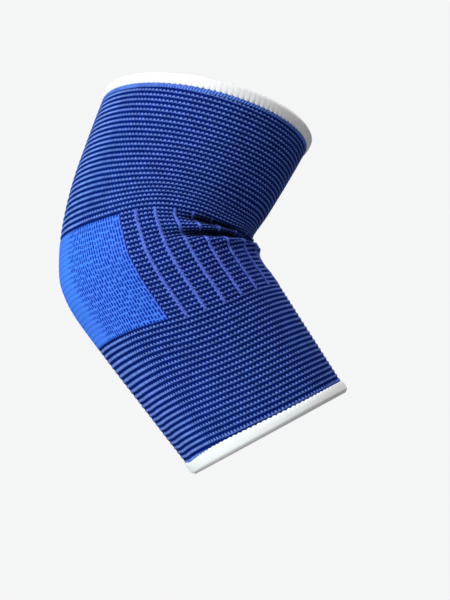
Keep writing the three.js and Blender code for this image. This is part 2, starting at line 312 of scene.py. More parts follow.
def station_of(row, wale):
    """The station at which a counted row lies on a wale."""
    row, wale = np.broadcast_arrays(np.asarray(row, float), np.asarray(wale, float))
    below = LAST_COURSE - LAST_ROW
    fading = 1 - eased(row, PANEL_END_ROW, PANEL_END_ROW + DROP_GONE_ROWS)
    reach = end_reach(wale_angle(wale)) * np.clip(row - LAST_ROW + 1, 0, 1)
    station = np.where(row <= UPPER_ROWS, row, row + below + panel_drop(wale) * fading + reach)
    inside = (row > UPPER_ROWS) & (row < PANEL_END_ROW)
    round_arm = wales_from_back(wale)
    lower = np.minimum(np.floor(round_arm).astype(int), WALES_ROUND // 2 - 1)
    for near in np.unique(lower[inside]):
        here = inside & (lower == near)
        share = round_arm[here] - near
        first = np.interp(row[here], ELBOW_REACHED[near], ELBOW_STATIONS[near])
        second = np.interp(row[here], ELBOW_REACHED[near + 1], ELBOW_STATIONS[near + 1])
        station[here] = first * (1 - share) + second * share
    return station


def cloth_point(row, wale, lift):
    """A point of the cloth for a counted row and a wale."""
    return tube_point(station_of(row, wale), wale_angle(wale), lift)


def crease_depth(row, wale):
    """0 on open cloth and 1 at the bottom of a crease. It sinks the raised lines and sets the painted shade
    in the creases.
    """
    course, angle = on_the_oval(station_of(row, wale), wale_angle(wale))
    from_back = degrees_from_back(angle)
    closing = eased(from_back, CREASE_HALF["from"], CREASE_HALF["to"])
    half = CREASE_HALF["open"] + (CREASE_HALF["closed"] - CREASE_HALF["open"]) * closing
    upper, lower = [eased(from_back, *tuck[:2]) * bell(from_fold(tuck, course, angle), half)
                    for tuck in TUCKS]
    shut = LOWER_CREASE_SHUT["share"] * eased(from_back, LOWER_CREASE_SHUT["from"], LOWER_CREASE_SHUT["to"])
    return np.maximum(upper, lower * (1 - shut))


def hem_cut(row):
    """How many rows of loops lie under the upper hem at the crook, for those that show at a counted row."""
    return HEM_CUT["rows"] + HEM_CUT["more"] * bell(row - HEM_CUT["at"], HEM_CUT["spread"])


def knit_row(row, wale):
    """The row of loops that shows at a counted row, since worn rows don't keep level with the hems.

    Towards the crook they sink, out of the upper hem and into the crease. Behind the forearm they rise.
    """
    from_back = wales_from_back(wale)
    sunk = hem_cut(row) * eased(from_back, *HEM_CUT_WALES) * (1 - eased(row, *HEM_CUT_GONE_ROWS))
    risen = BACK_RISE * eased(row, *BACK_RISE_ROWS) * (1 - eased(from_back, *BACK_RISE_WALES))
    return row - sunk + risen


def row_room(row, wale):
    """The share of a full row's height that the cloth shows here, small inside a crease."""
    nothing = np.zeros_like(row)
    gap = cloth_point(row + ROOM_STEP, wale, nothing) - cloth_point(row - ROOM_STEP, wale, nothing)
    return np.clip(np.linalg.norm(gap, axis=-1) / (2 * ROOM_STEP * ROW_LENGTH), 0, 1)


# %% [markdown]
# The camera, set before anything is dressed
# The photograph looks a little up at the brace, from in front of its near side. Aiming the camera by eye
# would move every line of the knit, so its place is worked out from the angles that make the outline of
# the bare CAD model fall on the outline in the photograph.

# %% Camera
AZIMUTH = math.radians(-16.6)
ELEVATION = math.radians(-14.8)
CAMERA_DISTANCE = 1.3
MILLIMETRES_PER_PIXEL = 0.5
FRAME_WIDTH, FRAME_HEIGHT = 450, 600
ORIGIN_PIXEL = (151, 253)
SENSOR = 36.0

to_camera = Vector((math.sin(AZIMUTH) * math.cos(ELEVATION), -math.cos(AZIMUTH) * math.cos(ELEVATION),
                    math.sin(ELEVATION)))
sight = -to_camera
right = sight.cross(Vector((0, 0, 1))).normalized()
up = right.cross(sight)
pixel_size = MILLIMETRES_PER_PIXEL * MILLIMETRE
target = right * (FRAME_WIDTH / 2 - ORIGIN_PIXEL[0]) * pixel_size
target -= up * (FRAME_HEIGHT / 2 - ORIGIN_PIXEL[1]) * pixel_size

camera_place = to_camera * CAMERA_DISTANCE
forward = (target - camera_place).normalized()
camera_right = forward.cross(up).normalized()
camera_up = camera_right.cross(forward)
camera_data = bpy.data.cameras.new("view_camera")
camera_data.sensor_width = SENSOR
camera_data.lens = SENSOR / 2 / (FRAME_HEIGHT / 2 * pixel_size / CAMERA_DISTANCE)
camera = bpy.data.objects.new("view_camera", camera_data)
bpy.context.scene.collection.objects.link(camera)
camera_turn = Matrix((camera_right, camera_up, -forward)).transposed()
camera.matrix_world = Matrix.Translation(camera_place) @ camera_turn.to_4x4()
bpy.context.scene.camera = camera
print("lens", round(camera_data.lens, 1), "mm at", [round(x, 3) for x in camera_place])

# %% [markdown]
# Cloth with two faces
# A knitted wall is thin but has an inside that shows at both mouths. One sheet with a Solidify modifier
# would copy the stitches to the inside, at the cost of as many triangles again. Instead each wall is a
# fine outside grid and a coarser inside grid, joined all round by a rim, so the mesh is closed.

# %% Joining two grids into one closed wall
OUT_STEPS = {"course": 6, "wale": 4}
IN_STEPS = {"course": 1, "wale": 2}
BAKE_MARGIN = 0.01
BAKE_ROOM = {"outside": (0.30, 0.99), "inside": (0.01, 0.24)}
BAKE_RIMS = [(0.250, 0.256), (0.262, 0.268), (0.274, 0.280), (0.286, 0.292)]


def bake_place(share):
    """Where a share of a piece's width lies in its bake layout, clear of both edges."""
    return BAKE_MARGIN + (1 - 2 * BAKE_MARGIN) * share


class Wall:
    """Gathers points, faces and their two UV places, then makes one mesh of them."""

    def __init__(self):
        self.points = []
        self.faces = []
        self.knit = []
        self.bake = []
        self.crease = []
        self.count = 0

    def grid(self, points, crease=0.0):
        """Adds a grid of points and returns the number of each."""
        rows, columns = points.shape[:2]
        numbers = np.arange(rows * columns).reshape(rows, columns) + self.count
        self.points.append(points.reshape(-1, 3))
        self.crease.append(np.broadcast_to(crease, (rows, columns)).ravel())
        self.count += rows * columns
        return numbers

    def quads(self, numbers, courses, wales, room, closed, flipped=False, loops=None):
        """Faces over a grid. A closed grid has one more wale than it has columns of points.

        The loops are the row of loops at each point, where that isn't its course.
        """
        rows, columns = len(courses), len(wales)
        loops = np.repeat(np.array(courses)[:, None], columns, axis=1) if loops is None else loops
        wide = np.concatenate([numbers, numbers[:, :1]], axis=1) if closed else numbers
        share = (np.array(courses) - courses[0]) / (courses[-1] - courses[0])
        bake_v = room[1] + (room[0] - room[1]) * share
        bake_u = bake_place((np.array(wales) - wales[0]) / (wales[-1] - wales[0]))
        turn = [(0, 0), (1, 0), (1, 1), (0, 1)]
        if flipped:
            turn.reverse()
        corners, knit, bake = [], [], []
        for down, across in turn:
            rows_here = slice(down, rows - 1 + down)
            columns_here = slice(across, columns - 1 + across)
            corners.append(wide[rows_here, columns_here])
            u = np.repeat(np.array(wales)[None, columns_here], rows - 1, axis=0)
            knit.append(np.stack([u, loops[rows_here, columns_here]], axis=-1))
            bv, bu = np.meshgrid(bake_v[rows_here], bake_u[columns_here], indexing="ij")
            bake.append(np.stack([bu, bv], axis=-1))
        self.faces.extend(np.stack(corners, axis=-1).reshape(-1, 4).tolist())
        self.knit.append(np.stack(knit, axis=2).reshape(-1, 2))
        self.bake.append(np.stack(bake, axis=2).reshape(-1, 2))

    def face(self, ring, knit, bake, flipped):
        """One face with any number of corners."""
        turn = -1 if flipped else 1
        self.faces.append([int(number) for number in ring[::turn]])
        self.knit.append(np.array(knit[::turn], float))
        self.bake.append(np.array(bake[::turn], float))

    def rim(self, fine, coarse, fine_knit, room, flipped):
        """Many-sided faces between a fine edge and a coarse edge that has a point for every few of its."""
        step = (len(fine) - 1) // (len(coarse) - 1)
        for k in range(len(coarse) - 1):
            span = list(range(k * step, (k + 1) * step + 1))
            corners = span + [span[-1], span[0]]
            ring = [fine[i] for i in span] + [coarse[k + 1], coarse[k]]
            heights = [room[1]] * len(span) + [room[0]] * 2
            bake = [(bake_place(i / (len(fine) - 1)), height) for i, height in zip(corners, heights)]
            self.face(ring, [fine_knit[i] for i in corners], bake, flipped)

    def mesh_object(self, name):
        """The object whose mesh holds all that was gathered, in metres."""
        mesh = bpy.data.meshes.new(name)
        points = np.concatenate(self.points) * MILLIMETRE
        mesh.from_pydata(points.tolist(), [], self.faces)
        for layer, places in (("OFBake", self.bake), ("Knit", self.knit)):
            uv = mesh.uv_layers.new(name=layer)
            uv.data.foreach_set("uv", np.concatenate(places).astype(np.float32).ravel())
        # The crease depth at each point, from which the finishes paint shade into the creases.
        crease = mesh.attributes.new("Crease", "FLOAT", "POINT")
        crease.data.foreach_set("value", np.concatenate(self.crease).astype(np.float32))
        mesh.polygons.foreach_set("use_smooth", np.ones(len(mesh.polygons), bool))
        mesh.update()
        piece = bpy.data.objects.new(name, mesh)
        bpy.context.scene.collection.objects.link(piece)
        triangles = sum(len(face) - 2 for face in self.faces)
        print(f"{name}: {len(points)} points, {triangles} triangles")
        return piece


def knitted_wall(name, courses, wales, relief, closed, steps=OUT_STEPS):
    """A closed wall of cloth between two courses and two wales, with its relief on the outside."""
    out_courses = np.linspace(*courses, (courses[1] - courses[0]) * steps["course"] + 1)
    in_courses = np.linspace(*courses, (courses[1] - courses[0]) * IN_STEPS["course"] + 1)
    out_wales = np.linspace(*wales, round((wales[1] - wales[0]) * steps["wale"]) + 1)
    in_wales = np.linspace(*wales, round((wales[1] - wales[0]) * IN_STEPS["wale"]) + 1)
    wall = Wall()
    grids = {}
    for face, down, across in (("outside", out_courses, out_wales), ("inside", in_courses, in_wales)):
        used = across[:-1] if closed else across
        course, wale = np.meshgrid(down, used, indexing="ij")
        lift = relief(course, wale) if face == "outside" else np.full_like(course, -WALL)
        grids[face] = wall.grid(cloth_point(course, wale, lift), crease_depth(course, wale))
        loops = knit_row(*np.meshgrid(down, across, indexing="ij"))
        wall.quads(grids[face], down, across, BAKE_ROOM[face], closed, face == "inside", loops)
    for edge, room in ((0, BAKE_RIMS[0]), (-1, BAKE_RIMS[1])):
        fine, coarse = list(grids["outside"][edge]), list(grids["inside"][edge])
        if closed:
            fine.append(fine[0])
            coarse.append(coarse[0])
        knit = [(wale, knit_row(out_courses[edge], wale)) for wale in out_wales]
        wall.rim(fine, coarse, knit, room, flipped=edge == -1)
    if not closed:
        for edge, room in ((0, BAKE_RIMS[2]), (-1, BAKE_RIMS[3])):
            knit = [(out_wales[edge], course) for course in out_courses]
            wall.rim(list(grids["outside"][:, edge]), list(grids["inside"][:, edge]), knit, room,
                     flipped=edge == 0)
    return wall.mesh_object(name)


# %% [markdown]
# The stitches of the rib knit
# Each course is a row of small arched loops that stand on the cloth like beads, with a dark groove before
# the next course. Real loops as tubes would take millions of triangles. At this scale a height over the
# wale and the course gives the same light and shadow, so the wall is raised and lowered stitch by stitch.

# %% Height of the rib knit
RIB_HEIGHT = 0.6
LOOP_RISE = 0.33
LOOP_HALF = 0.26
LOOP_DIP = 0.64
BACK_WALES = (17, 6)
BACK_LOWER = 0.5
BAND_ROWS = 1.08


def lies_flat(wale):
    """1 at the back, where the loops are pulled flat into a plain ridge, and 0 round the rest of the arm."""
    return 1 - eased(wales_from_back(wale), BACK_WALES[1], BACK_WALES[0])


def rib_relief(course, wale):
    """Millimetres above the middle of the cloth: an arched loop in each stitch, or the plain top band."""
    flat = lies_flat(wale)
    arch = np.abs(np.sin(np.pi * wale))
    along = knit_row(course, wale) - 0.5 + LOOP_RISE * (1 - flat) * (arch - 0.5)
    along = along - np.round(along)
    loop = bell(along, LOOP_HALF) * (1 - LOOP_DIP * (1 - flat) * (1 - arch))
    band = flat_topped(course / BAND_ROWS)
    height = np.where(course < BAND_ROWS, band, loop)
    return RIB_HEIGHT * (height - 0.5) * row_room(course, wale) * (1 - BACK_LOWER * flat)


# %% The two rib knit tubes
upper_sleeve = knitted_wall("upper_sleeve_cloth", (0, UPPER_ROWS), (0, WALES_ROUND), rib_relief, True)
forearm_sleeve = knitted_wall("forearm_sleeve_cloth", (PANEL_END_ROW, LAST_ROW), (0, WALES_ROUND),
                              rib_relief, True)

# %% The flex panel and the patch
PANEL_WALES = (PATCH_HALF_WALES, WALES_ROUND - PATCH_HALF_WALES)
PATCH_RIBS = 64
RIBS_PER_WALE = PATCH_RIBS / (2 * PATCH_HALF_WALES)
PATCH_HEIGHT = 0.3
PATCH_SMOOTH_WALES = (3.6, 9)
PATCH_EDGE_ROWS = 0.3
ROW_LINE_DEPTH = 0.12
ROW_LINE_HALF = 0.14
RIB_DRIFT = (4.6, -5.3)
DRIFT_EDGE_WALES = 7
LINE_WALES = [31.2, 36.0, 40.9, 45.7, 50.5, 55.6, 61.2, 66.6, 72.0]
LINE_LEAN = {"wales": -0.8, "at": 46.5, "spread": 8, "rows": (27, 35)}
LINE_BED_WALES = 0.6
LINE_BED_SHARE = 0.6


def patch_relief(course, wale):
    """Fine upright ribs, which flatten into thin row lines where the point of the elbow stretches them."""
    down = (course - UPPER_ROWS) / ELBOW_ROWS
    from_edge = PATCH_HALF_WALES - np.abs(wale)
    drift = down * (RIB_DRIFT[0] + RIB_DRIFT[1] * down) * np.clip(from_edge / DRIFT_EDGE_WALES, 0, 1)
    ribbed = eased(np.abs(wale), *PATCH_SMOOTH_WALES)
    rib = -0.5 * np.cos(2 * np.pi * (from_edge + drift) * RIBS_PER_WALE)
    row_line = bell(course - np.floor(course) - 0.5, ROW_LINE_HALF)
    edge = np.minimum(course - UPPER_ROWS, PANEL_END_ROW - course)
    sunk = (1 - ribbed) * ROW_LINE_DEPTH * row_line + PATCH_HEIGHT * bell(edge, PATCH_EDGE_ROWS)
    return PATCH_HEIGHT * rib * ribbed - sunk


def line_wale(line, course):
    """The wale of a raised line. Above the creases the middle lines are pulled back towards the elbow."""
    lean = LINE_LEAN["wales"] * bell(line - LINE_LEAN["at"], LINE_LEAN["spread"])
    return line + lean * (1 - eased(course, *LINE_LEAN["rows"]))


def panel_relief(course, wale):
    """The rib knit, pressed flatter where a raised line lies on it."""
    round_arm = np.minimum(wale, WALES_ROUND - wale)
    pressed = sum(bell(round_arm - line_wale(line, course), LINE_BED_WALES) for line in LINE_WALES)
    return rib_relief(course, wale) * (1 - LINE_BED_SHARE * pressed)


flex_panel = knitted_wall("flex_panel_cloth", (UPPER_ROWS, PANEL_END_ROW), PANEL_WALES, panel_relief, False)
elbow_patch = knitted_wall("elbow_patch_cloth", (UPPER_ROWS, PANEL_END_ROW),
                           (-PATCH_HALF_WALES, PATCH_HALF_WALES), patch_relief, False,
                           {"course": 4, "wale": 8})

# %% [markdown]
# The sewn hems
# Each end is finished with a soft white elastic band, held by overlock stitches whose loops reach over the
# first course, so its inner edge is a row of small scallops. A plain torus would look like rubber. This band
# is a ring of cross-sections: full in the middle, thin at the free edge, with a low thread at every stitch.

# %% Building a hem
THREAD_HEIGHT = 0.09
THREAD_SLANT = 0.35
THREAD_ROUND = 0.6
SCALLOP_ROUND = 0.7
SCALLOP_END = 0.3
COLUMNS_PER_STITCH = 8
HEM_OUTSIDE = 13
HEM_BACK = [0.96, 0.7, 0.35, 0.0]
HEM_SEAM_LIFT = 0.32
HEM_EDGE = (0.72, 1.0)
HEM_EDGE_DROP = 0.6
HEM_KNIT_STEP = 0.2


def hem_band(name, end_course, side, height, stitches, reach):
    """A white band past an end course. Side is -1 above the first course and 1 below the last."""
    columns = stitches * COLUMNS_PER_STITCH
    past = np.concatenate([np.linspace(0, 1, HEM_OUTSIDE), HEM_BACK])
    outside = np.arange(len(past)) < HEM_OUTSIDE
    full = flat_topped(past)
    edge_drop = HEM_EDGE_DROP * WALL * eased(past, *HEM_EDGE)
    lift = np.where(outside, HEM_SEAM_LIFT + (HEM_BULGE - HEM_SEAM_LIFT) * full - edge_drop,
                    -WALL - HEM_INSIDE * full)
    past_grid, angle = np.meshgrid(past, np.linspace(0, 2 * np.pi, columns + 1)[:-1], indexing="ij")
    lift_grid = np.repeat(lift[:, None], columns, axis=1)
    turn = angle * stitches / (2 * np.pi) + THREAD_SLANT * past_grid
    stitch = np.abs(np.sin(np.pi * turn))
    thread = stitch ** THREAD_ROUND - 0.5
    lift_grid += np.where(outside[:, None], THREAD_HEIGHT * thread, 0)
    end = np.full_like(angle, float(end_course))
    seam = end + (end_reach(angle) if side > 0 else 0)
    start = tube_point(seam, angle, lift_grid)
    onward = unit(oval_point(end + side, angle) - oval_point(end, angle))
    level = oval_point(end, angle) + oval_normal(end, angle) * lift_grid[..., None] + onward * height
    points = start + (level - start) * past_grid[..., None]
    scallop = stitch ** SCALLOP_ROUND * (1 - eased(past_grid, 0, SCALLOP_END)) * outside[:, None]
    points -= onward * (reach * scallop)[..., None]
    wall = Wall()
    numbers = wall.grid(points)
    numbers = np.concatenate([numbers, numbers[:1]], axis=0)
    knit_v = end_course + side * HEM_KNIT_STEP * np.arange(len(past) + 1)
    room = (BAKE_MARGIN, 1 - BAKE_MARGIN)
    wall.quads(numbers, knit_v, np.linspace(0, stitches, columns + 1), room, True, flipped=side < 0)
    return wall.mesh_object(name)


# %% The two hems
UPPER_HEM_STITCHES = 114
FOREARM_HEM_STITCHES = 102
UPPER_SCALLOP_REACH = 0.85
FOREARM_SCALLOP_REACH = 0.75
upper_hem = hem_band("upper_hem_band", 0, -1, UPPER_HEM_HEIGHT, UPPER_HEM_STITCHES, UPPER_SCALLOP_REACH)
forearm_hem = hem_band("forearm_hem_band", LAST_COURSE, 1, FOREARM_HEM_HEIGHT, FOREARM_HEM_STITCHES,
                       FOREARM_SCALLOP_REACH)

# %% [markdown]
# The raised lines round the crook
# Seventeen soft yarns run down the flex panel, about five wales apart, and lie over every fold. Painted
# lines would lose their edges in the creases. Each one is a flat tube of two plies whose points are placed
# on the folded cloth, half sunk in it, so it bends where the cloth bends.

# %% Two-ply yarns over the folds
LINE_WIDTH = 1.65
LINE_LIFT = 0.1
LINE_RISE = 0.5
LINE_CREASE_SINK = 0.35
LINE_UNEVEN = 0.07
UNEVEN_WAVES = [(7.3, 2.1), (11.9, 4.7)]
END_ROUND = 60
END_LEAST = 0.02
PLY_DEPTH = 0.12
PLY_TURN = 2.3
LINE_SIDES = 10
LINE_STEPS_PER_COURSE = 8
LINE_FIRST_COURSE = UPPER_ROWS + 0.1
LINE_LAST_COURSE = PANEL_END_ROW + 0.3
LINE_BAKE = {"length": 0.9, "first_end": 0.95, "last_end": 0.93, "wide": 0.004, "high": 0.002}


def crook_lines(name):
    """All the raised yarns of the panel as one piece, each a closed tube with rounded ends."""
    steps = round((LINE_LAST_COURSE - LINE_FIRST_COURSE) * LINE_STEPS_PER_COURSE)
    courses = np.linspace(LINE_FIRST_COURSE, LINE_LAST_COURSE, steps + 1)
    wall = Wall()
    paths = [line_wale(line, courses) for line in LINE_WALES]
    paths += [WALES_ROUND - path for path in paths[:-1]]
    for index, here in enumerate(paths):
        wale = here[-1]
        deep = crease_depth(courses, here)
        lift = LINE_LIFT - LINE_CREASE_SINK * deep
        centre = cloth_point(courses, here, lift)
        out = unit(cloth_point(courses, here, lift + 1) - centre)
        across = unit(np.cross(unit(np.gradient(centre, axis=0)), out))
        from_middle = np.abs(np.linspace(-1, 1, steps + 1))
        ends = np.sqrt(np.clip(1 - from_middle ** END_ROUND, END_LEAST, 1))
        turn = np.linspace(0, 2 * np.pi, LINE_SIDES, endpoint=False)
        ply = 1 + PLY_DEPTH * np.cos(2 * (turn[None, :] - np.pi * courses[:, None] / PLY_TURN))
        uneven = sum(np.sin(down * courses + apart * index) for down, apart in UNEVEN_WAVES)
        ply *= 1 + LINE_UNEVEN * uneven[:, None] / len(UNEVEN_WAVES)
        wide = np.cos(turn)[None, :] * ply * ends[:, None] * LINE_WIDTH / 2
        high = np.sin(turn)[None, :] * ply * ends[:, None] * LINE_RISE
        points = centre[:, None] + across[:, None] * wide[..., None] + out[:, None] * high[..., None]
        numbers = wall.grid(points, deep[:, None])
        low = bake_place(index / len(paths))
        room = (low, low + LINE_BAKE["length"] / len(paths))
        wall.quads(numbers, courses, wale + np.linspace(-0.5, 0.5, LINE_SIDES + 1), room, True)
        for row, end in ((0, "first_end"), (-1, "last_end")):
            place = low + LINE_BAKE[end] / len(paths)
            bake = [(BAKE_MARGIN + LINE_BAKE["wide"] * math.cos(t), place + LINE_BAKE["high"] * math.sin(t))
                    for t in turn]
            wall.face(numbers[row], [(wale, courses[row])] * LINE_SIDES, bake, flipped=row == 0)
    return wall.mesh_object(name)


flex_lines = crook_lines("flex_panel_lines")

# %% [markdown]
# Finishes
# The whole brace is dyed yarn, so every finish is built from the same few effects: where in its stitch a
# point lies, the fine fibres of the yarn, and slow changes of shade over the cloth. Each effect is a node
# group with named sockets, made once, and each finish gives it its own numbers.

# %% A short word for each kind of node
class NodeTree:
    """A node tree, with a method for each kind of node that the finishes use often."""

    def __init__(self, tree):
        self.tree = tree

    def link(self, source, target):
        self.tree.links.new(source, target)

    def add(self, kind, inputs=None, **settings):
        """A node with its settings, whose inputs take either a value or the socket that feeds them."""
        made = self.tree.nodes.new(kind)
        for key, value in settings.items():
            setattr(made, key, value)
        for key, value in (inputs or {}).items():
            if isinstance(value, bpy.types.NodeSocket):
                self.link(value, made.inputs[key])
            else:
                made.inputs[key].default_value = value
        return made

    def math(self, operation, *values):
        return self.add("ShaderNodeMath", dict(enumerate(values)), operation=operation).outputs[0]

    def minus(self, first, second):
        return self.math("SUBTRACT", first, second)

    def times(self, first, second):
        return self.math("MULTIPLY", first, second)

    def size(self, value):
        """A value without its sign."""
        return self.math("ABSOLUTE", value)

    def in_cell(self, value):
        """Where a value lies between two whole numbers, from -0.5 to 0.5."""
        return self.minus(self.math("FRACT", value), 0.5)

    def parts(self, vector):
        return self.add("ShaderNodeSeparateXYZ", {0: vector}).outputs

    def random(self, cell):
        """A random number for each whole X and Y."""
        return self.add("ShaderNodeTexWhiteNoise", {"Vector": cell}, noise_dimensions="2D").outputs["Value"]

    def blend(self, share, first, second, how="MIX"):
        """A mix of two colours, which go into sockets 6 and 7 of the node."""
        made = self.add("ShaderNodeMix", {0: share, 6: first, 7: second}, data_type="RGBA", blend_type=how)
        return made.outputs[2]

    def scaled(self, colour, factor):
        """A colour made lighter or darker by a factor."""
        grey = self.add("ShaderNodeCombineColor", {0: factor, 1: factor, 2: factor}).outputs[0]
        return self.blend(1.0, colour, grey, "MULTIPLY")

    def ramp(self, value, low, high):
        """0 at low, 1 at high and smooth between. Low may be the larger number."""
        return self.add("ShaderNodeMapRange", {"Value": value, "From Min": low, "From Max": high},
                        interpolation_type="SMOOTHSTEP").outputs[0]

    def use(self, effect, inputs):
        """The outputs of an effect, which is a node group."""
        return self.add("ShaderNodeGroup", inputs, node_tree=effect.tree).outputs


def effect_group(name, inputs, outputs):
    """An empty effect with named sockets. An input is (name, kind, value) and an output (name, kind)."""
    tree = bpy.data.node_groups.new(name, "ShaderNodeTree")
    for label, kind, value in inputs:
        socket = tree.interface.new_socket(name=label, in_out="INPUT", socket_type="NodeSocket" + kind)
        if value is not None:
            socket.default_value = value
    for label, kind in outputs:
        tree.interface.new_socket(name=label, in_out="OUTPUT", socket_type="NodeSocket" + kind)
    given, put = tree.nodes.new("NodeGroupInput").outputs, tree.nodes.new("NodeGroupOutput").inputs
    return NodeTree(tree), given, put


# %% Effect: the loop of a stitch
YARN_SHARE = 0.94


def make_loop_group():
    """How high a point lies on the arched loop of its stitch, and a random number for that stitch."""
    tree, given, put = effect_group(
        "stitch loop",
        [("Place", "Vector", None), ("Flat", "Float", 0.0), ("Rise", "Float", LOOP_RISE),
         ("Half", "Float", LOOP_HALF * YARN_SHARE), ("Dip", "Float", LOOP_DIP)],
        [("Loop", "Float"), ("Stitch", "Float")])
    parts = tree.parts(given["Place"])
    arched = tree.minus(1.0, given["Flat"])
    arch = tree.size(tree.math("SINE", tree.times(parts["X"], math.pi)))
    rise = tree.times(given["Rise"], arched)
    along = tree.in_cell(tree.math("MULTIPLY_ADD", tree.minus(arch, 0.5), rise, parts["Y"]))
    share = tree.math("DIVIDE", along, given["Half"])
    ridge = tree.math("EXPONENT", tree.times(tree.times(share, share), -1.0))
    low = tree.times(tree.minus(1.0, arch), tree.times(given["Dip"], arched))
    tree.link(tree.times(ridge, tree.minus(1.0, low)), put["Loop"])
    whole = tree.add("ShaderNodeVectorMath", {0: given["Place"]}, operation="FLOOR").outputs[0]
    tree.link(tree.random(whole), put["Stitch"])
    return tree


loop_group = make_loop_group()


# %% Effect: the fibres of the yarn
def make_fibre_group():
    """Fine streaks that run with the yarn, as a height and a shade."""
    tree, given, put = effect_group(
        "yarn fibres",
        [("Place", "Vector", None), ("Across", "Float", 3.0), ("Along", "Float", 12.0)],
        [("Fibre", "Float")])
    parts = tree.parts(given["Place"])
    stretched = tree.add("ShaderNodeCombineXYZ", {"X": tree.times(parts["X"], given["Across"]),
                                                  "Y": tree.times(parts["Y"], given["Along"])}).outputs[0]
    noise = tree.add("ShaderNodeTexNoise", {"Vector": stretched, "Scale": 1.0, "Detail": 3.0,
                                            "Roughness": 0.6}, noise_dimensions="2D")
    tree.link(noise.outputs[0], put["Fibre"])
    return tree


fibre_group = make_fibre_group()


def streaks(tree, fibre, amount):
    """The fibres as a factor round 1, for the lightness of a colour."""
    return tree.math("MULTIPLY_ADD", fibre, amount, 1 - amount / 2)


# %% Effect: slow changes of shade
HUE_OFFSET = (0.37, 0.11, 0.23)


def make_shade_group():
    """Broad patches where the yarn took more or less dye, and turns a little redder or greener."""
    tree, given, put = effect_group(
        "dye shade",
        [("Size", "Float", 30.0), ("Amount", "Float", 0.1), ("Hue", "Float", 0.0)],
        [("Shade", "Float"), ("Tint", "Color")])

    def patches(where, detail):
        noise = tree.add("ShaderNodeTexNoise", {"Vector": where, "Scale": given["Size"], "Detail": detail})
        return tree.minus(noise.outputs[0], 0.5)

    place = tree.add("ShaderNodeTexCoord").outputs["Object"]
    moved = tree.add("ShaderNodeVectorMath", {0: place, 1: HUE_OFFSET}, operation="ADD").outputs[0]
    tree.link(tree.math("MULTIPLY_ADD", patches(place, 2.0), given["Amount"], 1.0), put["Shade"])
    turn = tree.times(patches(moved, 1.0), given["Hue"])
    redder, greener = tree.math("ADD", 1.0, turn), tree.minus(1.0, turn)
    tint = tree.add("ShaderNodeCombineColor", {0: redder, 1: greener, 2: 1.0}).outputs[0]
    tree.link(tint, put["Tint"])
    return tree


shade_group = make_shade_group()


# %% Effect: painted shade in a crease
# Painted shade in the creases: the share of the colour taken at the bottom, and the depths over which it
# grows.
CREASE_PAINTED_SHADE = 0.88
CREASE_SHADE = (0.15, 0.85)


def make_crease_shade_group():
    """Paints shade into a colour, darker towards the bottom of a crease."""
    tree, given, put = effect_group("crease painted shade", [("Colour", "Color", None)], [("Colour", "Color")])
    depth = tree.add("ShaderNodeAttribute", attribute_name="Crease").outputs["Fac"]
    # Painted shade: the deeper the crease, the darker the colour.
    painted_shade = tree.times(tree.ramp(depth, *CREASE_SHADE), CREASE_PAINTED_SHADE)
    tree.link(tree.scaled(given["Colour"], tree.minus(1.0, painted_shade)), put["Colour"])
    return tree


crease_shade_group = make_crease_shade_group()


# %% What every finish starts and ends with
BLUE_SHEEN = (0.2, 0.42, 1.0, 1.0)
FIBRE_HEIGHT = 0.0002


def start_material(name, roughness, sheen, sheen_tint=BLUE_SHEEN):
    """A material with a Principled shader whose constant values are set on the shader itself."""
    material = bpy.data.materials.new(name)
    material.use_nodes = True
    shader = material.node_tree.nodes["Principled BSDF"]
    constants = {"Roughness": roughness, "Specular IOR Level": 0.03, "Sheen Weight": sheen,
                 "Sheen Roughness": 0.3, "Sheen Tint": sheen_tint}
    for label, value in constants.items():
        shader.inputs[label].default_value = value
    tree = NodeTree(material.node_tree)
    return material, tree, shader, tree.add("ShaderNodeUVMap", uv_map="Knit").outputs[0]


def paint(tree, shader, colour, relief, strength, height=FIBRE_HEIGHT):
    """Feeds a colour and a fine relief to the shader of a material."""
    bump = tree.add("ShaderNodeBump", {"Height": relief, "Strength": strength, "Distance": height})
    tree.link(colour, shader.inputs["Base Color"])
    tree.link(bump.outputs[0], shader.inputs["Normal"])


# %% [markdown]
# Rib knit
# Light blue loops stand over navy grooves. The two colours could be two meshes, but the loops and the ground
# are one cloth, so the same numbers that raise the bead also say where its blue begins.

# %% The plain band under the upper hem
BAND_STROKES_PER_WALE = 1.5
BAND_SLANT = 0.5
BAND_DARK, BAND_LIGHT = (0.008, 0.04, 0.3, 1), (0.13, 0.27, 0.8, 1)
# Painted shadow where two loops of the upper hem meet the band.
BAND_CUSP_SHADOW = (0.02, 0.022, 0.02, 1)
BAND_FADE = 0.14
STROKE_EDGE = (0.12, 0.3)
CUSP_ACROSS, CUSP_DOWN = (0.36, 0.47), (0.42, 0.2)


def top_band(tree, place, round_arm, colour):
    """Paints the plain band under the upper hem: slanted strokes, and a painted shadow in the cusp between
    two hem loops.
    """
    parts = tree.parts(place)
    near_crook = tree.ramp(round_arm, *HEM_CUT_WALES)
    from_hem = tree.math("MULTIPLY_ADD", near_crook, hem_cut(BAND_ROWS / 2), parts["Y"])
    slanted = tree.math("MULTIPLY_ADD", parts["X"], BAND_STROKES_PER_WALE, tree.times(from_hem, BAND_SLANT))
    from_stroke = tree.size(tree.in_cell(slanted))
    painted = tree.blend(tree.ramp(from_stroke, *STROKE_EDGE), BAND_DARK, BAND_LIGHT)
    from_loop = tree.size(tree.in_cell(tree.times(parts["X"], UPPER_HEM_STITCHES / WALES_ROUND)))
    # Painted shadow between two hem loops, at the edge of the hem.
    cusp = tree.times(tree.ramp(from_loop, *CUSP_ACROSS), tree.ramp(from_hem, *CUSP_DOWN))
    painted = tree.blend(cusp, painted, BAND_CUSP_SHADOW)
    return tree.blend(tree.ramp(from_hem, BAND_ROWS, BAND_ROWS - BAND_FADE), colour, painted)


# %% Finish: rib knit and flex knit
GROOVE_TO_LOOP = (0.29, 0.56)
# Painted highlight: the loop's blue turns lighter towards the crest of the loop.
LOOP_TO_HIGHLIGHT = (0.42, 0.8)
BACK_OPEN = 0.1


